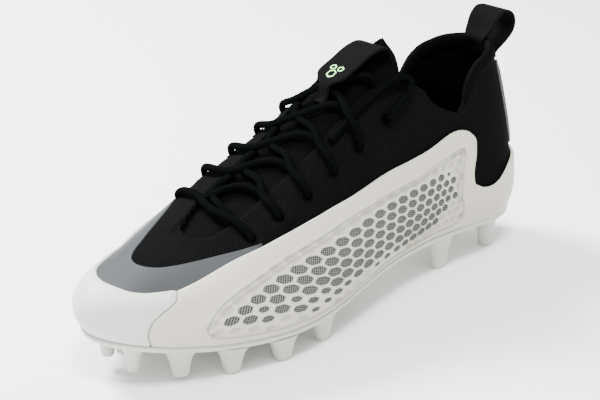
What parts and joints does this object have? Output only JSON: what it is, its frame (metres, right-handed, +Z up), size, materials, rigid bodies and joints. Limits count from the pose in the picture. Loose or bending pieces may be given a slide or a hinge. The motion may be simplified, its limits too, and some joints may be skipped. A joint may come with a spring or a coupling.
{
  "type": "american football cleat",
  "caption": "Left low-cut american football cleat: black knit upper in an off-white moulded shell with a honeycomb window, laced, on a studded sole.",
  "frame": {"origin": "bottom centre of the bounding box, on the plane of the stud tips", "axes": "+Z up, -Y towards the toe, +Y towards the heel, +X towards the outer (lateral) side of this left shoe"},
  "size_m": [0.101, 0.3008, 0.139],
  "materials": {
    "black_knit": "open mesh, matt",
    "black_smooth": "smooth, matt",
    "lace_black": "braided, slight sheen",
    "shell_white": "moulded, satin",
    "toe_white": "moulded, satin",
    "film_grey": "smooth, satin",
    "sole_white": "moulded, satin",
    "insole_black": "textile, matt"
  },
  "bodies": {
    "root": {"upper": "black_knit", "cage": "shell_white", "toe_cap": "toe_white", "toe_film": "film_grey", "heel_patch": "black_smooth", "tongue": "black_smooth", "tongue_tab": "black_smooth", "heel_loop": "black_smooth", "insole": "insole_black", "outsole": "sole_white", "lace_bar": "lace_black", "lace_cross_1": "lace_black", "lace_cross_2": "lace_black", "lace_cross_3": "lace_black", "lace_cross_4": "lace_black", "lace_cross_5": "lace_black", "lace_end": "lace_black"}
  },
  "joints": []
}
